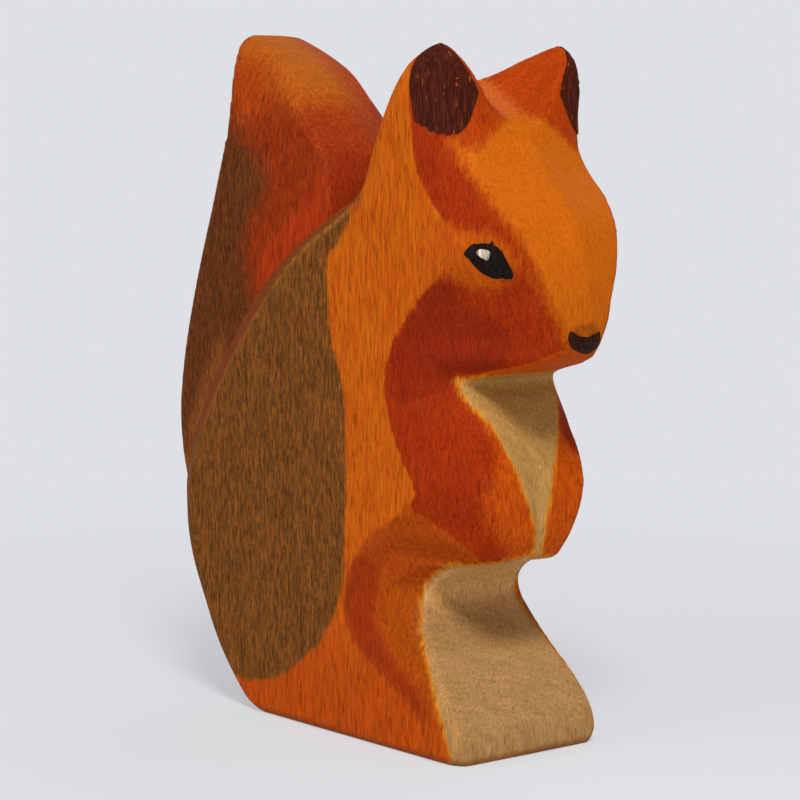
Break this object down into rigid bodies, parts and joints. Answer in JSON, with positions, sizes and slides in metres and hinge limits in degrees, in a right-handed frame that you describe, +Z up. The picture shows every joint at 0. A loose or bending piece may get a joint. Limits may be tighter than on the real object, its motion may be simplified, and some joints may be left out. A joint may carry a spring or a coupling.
{
  "type": "carved wooden squirrel figurine",
  "caption": "Hand-carved beech squirrel sitting up with its paws on its chest and a tall upright tail, stained and painted, free-standing on a flat foot.",
  "frame": {"origin": "on the rest face, under the middle of the length from tail to nose, on the middle plane", "axes": "+X the way the squirrel looks, +Y its left side, +Z up"},
  "size_m": [0.0751, 0.0238, 0.0904],
  "materials": {
    "stained_beech": "water stain brushed on bare beech in orange, brick red and grey brown, lightly oiled, satin",
    "stained_beech_tail": "water stain on bare beech, orange brown at the top to dark brown down the back, satin",
    "plain_beech": "bare, turned smooth",
    "dark_paint": "brushed, matt",
    "brown_paint": "brushed thinly, with brush ends that run out, matt",
    "white_paint": "a dab, matt"
  },
  "bodies": {
    "root": {"body": "stained_beech", "tail": "stained_beech_tail", "tail_dowel_lower": "plain_beech", "tail_dowel_upper": "plain_beech", "eye_right": "dark_paint", "eye_left": "dark_paint", "eye_glint_right": "white_paint", "eye_glint_left": "white_paint", "nose": "dark_paint", "ear_patch_right": "brown_paint", "ear_patch_left": "brown_paint"}
  },
  "joints": []
}
